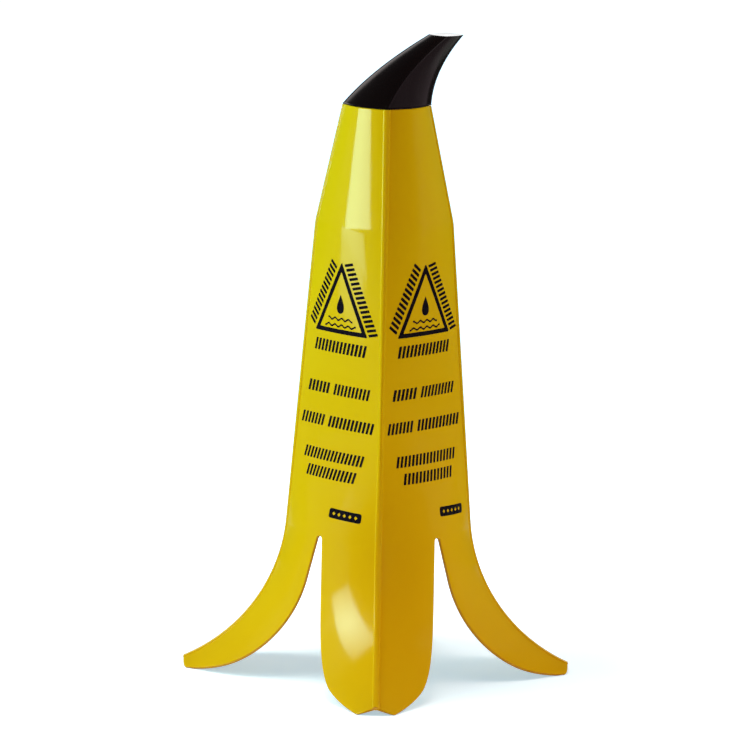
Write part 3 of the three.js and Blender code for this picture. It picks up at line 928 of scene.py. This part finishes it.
def brown_material():
    """Glossy dark moulding with faint flow lines and a few handling marks."""
    material, tree, shader = nodes_of("brown_plastic")
    place = object_place(tree)
    inner = attribute(tree, "inner")
    marks = scuffs(tree, place)
    base = mottled(tree, noise(tree, place, 14.0, 3.0), BROWN)
    base = tint(tree, scaled(tree, inner, 0.6), base, BROWN_INSIDE)
    tree.links.new(base, shader.inputs["Base Color"])
    rough = level(tree, noise(tree, place, 70.0, 4.0), 0.3, 0.7, 0.13, 0.20)
    rough = combine(tree, "ADD", rough, scaled(tree, inner, 0.25))
    rough = combine(tree, "ADD", rough, scaled(tree, marks, 0.10))
    tree.links.new(rough, shader.inputs["Roughness"])
    shader.inputs["IOR"].default_value = PLASTIC_IOR
    bumps(tree, shader, [
        (noise(tree, place, 30.0, 1.0, stretch=(1, 1, 0.4)), 0.00015),
        (noise(tree, place, 420.0, 2.0), 0.000004),
    ])
    return material


def ink_material():
    """Printed ink: nearly black, a little duller than the plastic, thin at a few specks."""
    material, tree, shader = nodes_of("printed_ink")
    place = object_place(tree)
    fine = noise(tree, place, 260.0, 4.0, 0.6)
    tree.links.new(ramp(tree, fine, INK_STOPS), shader.inputs["Base Color"])
    tree.links.new(level(tree, fine, 0.3, 0.7, 0.24, 0.36), shader.inputs["Roughness"])
    shader.inputs["IOR"].default_value = INK_IOR
    bumps(tree, shader, [(noise(tree, place, 1400.0, 2.0), 0.000006)])
    return material


def finish_piece(piece, material, body, slot, *replaced):
    piece.data.materials.clear()
    piece.data.materials.append(material)
    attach(piece, body)
    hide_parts(*replaced)


yellow, brown, black = yellow_material(), brown_material(), ink_material()
finish_piece(shell_mesh(), yellow, "cone", "yellow_shell", "cone_shell")
finish_piece(stem_mesh(), brown, "stem", "brown_stem", "stem_cap")
for quarter, side in enumerate(("right", "back", "left", "front")):
    ink = legend("ink_" + side, quarter * math.pi / 2)
    finish_piece(ink, black, "cone", "legend_ink", "legend_" + side)


# ---------------------------------------------------------------- stage, light, camera
FLOOR_HALF = 14.0
# the floor's own light, which only the camera sees, near the object and far from it
GLOW_TINT, GLOW_NEAR, GLOW_FAR = (0.625, 0.8482143, 1.0), 0.5936, 1.68
GLOW_SPAN, PALE_SPAN = (0.22, 0.75), (0.4, 1.3)


def floor():
    """Studio floor: white away from the object, and a soft shadow under it."""
    data = bpy.data.meshes.new("floor")
    corners = [(-1, -1), (1, -1), (1, 1), (-1, 1)]
    data.from_pydata([(FLOOR_HALF * x, FLOOR_HALF * y, 0) for x, y in corners], [], [(0, 1, 2, 3)])
    made = new_object("floor", data)
    material, tree, shader = nodes_of("studio_floor")
    reach = node(tree, "ShaderNodeVectorMath", operation="LENGTH")
    tree.links.new(object_place(tree), reach.inputs[0])
    pale = level(tree, reach.outputs["Value"], *PALE_SPAN, 0.8, 0.03)
    tree.links.new(pale, shader.inputs["Base Color"])
    shader.inputs["Roughness"].default_value = 0.9
    shader.inputs["Specular IOR Level"].default_value = 0.0
    path = tree.nodes.new("ShaderNodeLightPath")
    glow = level(tree, reach.outputs["Value"], *GLOW_SPAN, GLOW_NEAR, GLOW_FAR)
    lift = combine(tree, "MULTIPLY", path.outputs["Is Camera Ray"], glow)
    shader.inputs["Emission Color"].default_value = (*GLOW_TINT, 1)
    tree.links.new(lift, shader.inputs["Emission Strength"])
    data.materials.append(material)


def softbox(name, azimuth, elevation, distance, width, height, radiance, color, aim,
            gloss=True, diffuse=True, roll=0, grid=None, only=None):
    """Softbox facing aim. Azimuth 0 stands on the -Y side and 90 on the +X side.

    A grid narrows its beam to that angle in degrees, and only names the pieces that it lights."""
    light = bpy.data.lights.new(name, "AREA")
    light.shape, light.size, light.size_y = "RECTANGLE", width, height
    light.energy, light.color = radiance * math.pi * width * height, color
    if grid:
        half = math.radians(grid / 2)
        light.spread = 2 * half
        light.energy *= 1 - half / math.tan(half)
    made = new_object(name, light)
    a, e = math.radians(azimuth), math.radians(elevation)
    back = Vector((math.sin(a) * math.cos(e), -math.cos(a) * math.cos(e), math.sin(e)))
    made.location = Vector(aim) + back * distance
    made.rotation_mode = "QUATERNION"
    rolled = Quaternion((0, 0, 1), math.radians(roll))
    made.rotation_quaternion = (-back).to_track_quat("-Z", "Y") @ rolled
    made.visible_camera, made.visible_glossy, made.visible_diffuse = False, gloss, diffuse
    if only:
        lit = bpy.data.collections.new(name + "_lights")
        for piece in only:
            lit.objects.link(bpy.data.objects[piece])
        made.light_linking.receiver_collection = lit


GLINT, COOL, WARM, FAR = (0.60, 1.0, 0.84), (0.755, 0.97, 0.97), (1.0, 0.44, 0.28), (0.98, 1.0, 0.9)
ABOVE, ON_FLOOR = (1.0, 0.52, 0.32), (0.84, 1.0, 1.0)
ROSE, ROSE_BACK = (1.0, 0.74, 0.84), (1.0, 0.78, 0.72)
NECK, LEG, MIDDLE, STEM = (0.016, -0.049, 0.5093), (0.05, -0.085, 0.08), (0, 0, 0.28), (0, 0, 0.55)
WAIST, WAIST_STEP = (0.0166, -0.0512, 0.319), (0.0166, -0.0112)
TAILS = (
    # the lower end of the long highlight: height, rise over the waist, radiance
    (0.062, 0.0475, 4.2),
    (0.035, -0.001, 2.9),
    (0.035, -0.036, 1.6),
)


def lights():
    """Boxes for the sharp highlights on the shell, soft fills, and edge lights for the stem."""
    shine, edge = {"diffuse": False, "only": ["shell"]}, {"diffuse": False, "only": ["stem"]}
    softbox("strip", -30, 0, 0.25, 0.152, 0.181, 8.0, GLINT, NECK, roll=12, grid=100, **shine)
    for step, (height, rise, radiance) in enumerate(TAILS):
        x, y = (WAIST[axis] - WAIST_STEP[axis] * step for axis in range(2))
        softbox("strip_tail_%d" % step, -34, -0.1, 0.5, 0.245 - 0.04 * step, height, radiance,
                GLINT, (x, y, WAIST[2] + rise), roll=-6, grid=60, **shine)
    softbox("leg_box", -23, 30.5, 0.43, 0.143, 0.265, 9.5, GLINT, LEG, roll=4, grid=53, **shine)
    pieces = ["shell", "stem", "ink_right", "ink_back", "ink_left", "ink_front"]
    softbox("left_fill", -38, 20, 3.0, 3.0, 3.0, 4.35, COOL, MIDDLE, gloss=False)
    softbox("right_fill", 62, 6, 3.0, 2.4, 2.4, 2.35, WARM, MIDDLE, gloss=False, only=pieces)
    softbox("far_fill", 150, 10, 3.0, 2.4, 2.4, 3.5, FAR, MIDDLE, gloss=False)
    softbox("overhead", 0, 89, 2.2, 1.3, 1.3, 2.4, ABOVE, MIDDLE, gloss=False)
    softbox("floor_light", -50, 76, 2.2, 1.3, 1.3, 4.6, ON_FLOOR, MIDDLE, gloss=False,
            only=["floor"])
    softbox("stem_side", 122, -9, 0.8, 1.8, 0.75, 0.23, ROSE, STEM, **edge)
    softbox("stem_back", -108, 20, 3.0, 0.9, 0.9, 0.45, ROSE_BACK, STEM, **edge)


WORLD_STRENGTH = 2.0
# brightness of the studio by how far a direction is turned from the camera's side to the backdrop
BACKDROP = ((0.5, 0.006), (0.84, 0.02), (0.93, 0.4), (1.0, 1.0))


def world_light():
    """White backdrop behind the object, dark studio on the camera's side."""
    world = bpy.data.worlds.new("studio")
    bpy.context.scene.world = world
    world.use_nodes = True
    tree = world.node_tree
    tree.nodes.clear()
    out = tree.nodes.new("ShaderNodeOutputWorld")
    seen = node(tree, "ShaderNodeBackground", Strength=1.0)
    seen.inputs["Color"].default_value = (1, 1, 1, 1)
    lit = node(tree, "ShaderNodeBackground", Strength=WORLD_STRENGTH)
    way = node(tree, "ShaderNodeVectorMath", operation="DOT_PRODUCT")
    tree.links.new(node(tree, "ShaderNodeTexCoord").outputs["Generated"], way.inputs[0])
    way.inputs[1].default_value = (-1 / ROOT2, 1 / ROOT2, 0)
    facing = level(tree, way.outputs["Value"], -1, 1)
    backdrop = ramp(tree, facing, [(at, (tone, tone, tone)) for at, tone in BACKDROP])
    tree.links.new(backdrop, lit.inputs["Color"])
    path = tree.nodes.new("ShaderNodeLightPath")
    mix = tree.nodes.new("ShaderNodeMixShader")
    tree.links.new(path.outputs["Is Camera Ray"], mix.inputs[0])
    tree.links.new(lit.outputs[0], mix.inputs[1])
    tree.links.new(seen.outputs[0], mix.inputs[2])
    tree.links.new(mix.outputs[0], out.inputs[0])


# the camera, fitted to the photograph: metres, degrees, and a focal length in its pixels
CAMERA_DISTANCE, CAMERA_HEIGHT, CAMERA_TURN, CAMERA_ROLL = 4.10, 1.0377, -0.34, 1.1525
AIM_ACROSS, AIM_HEIGHT = -0.0058, 0.2757
FOCAL, PIXELS, SENSOR = 4541.8, 750, 36.0


def camera():
    """Camera at the photograph's angle: near the corner between +X and -Y, a little above."""
    across, near = Vector((1, 1, 0)) / ROOT2, Vector((1, -1, 0)) / ROOT2
    turn, roll = math.radians(CAMERA_TURN), math.radians(CAMERA_ROLL)
    place = across * (CAMERA_DISTANCE * math.sin(turn)) + near * (CAMERA_DISTANCE * math.cos(turn))
    place += Vector((0, 0, CAMERA_HEIGHT))
    aim = across * AIM_ACROSS + Vector((0, 0, AIM_HEIGHT))
    back = (place - aim).normalized()
    level_right = Vector((0, 0, 1)).cross(back).normalized()
    level_up = back.cross(level_right)
    right = level_right * math.cos(roll) + level_up * math.sin(roll)
    up = level_up * math.cos(roll) - level_right * math.sin(roll)
    data = bpy.data.cameras.new("camera")
    data.sensor_width, data.lens = SENSOR, FOCAL / PIXELS * SENSOR
    data.clip_start, data.clip_end = 0.1, 60.0
    made = new_object("camera", data)
    matrix = Matrix((right, up, back)).transposed().to_4x4()
    matrix.translation = place
    made.matrix_world = matrix
    bpy.context.scene.camera = made


floor()
world_light()
lights()
camera()
bpy.context.scene.view_settings.view_transform = "Standard"
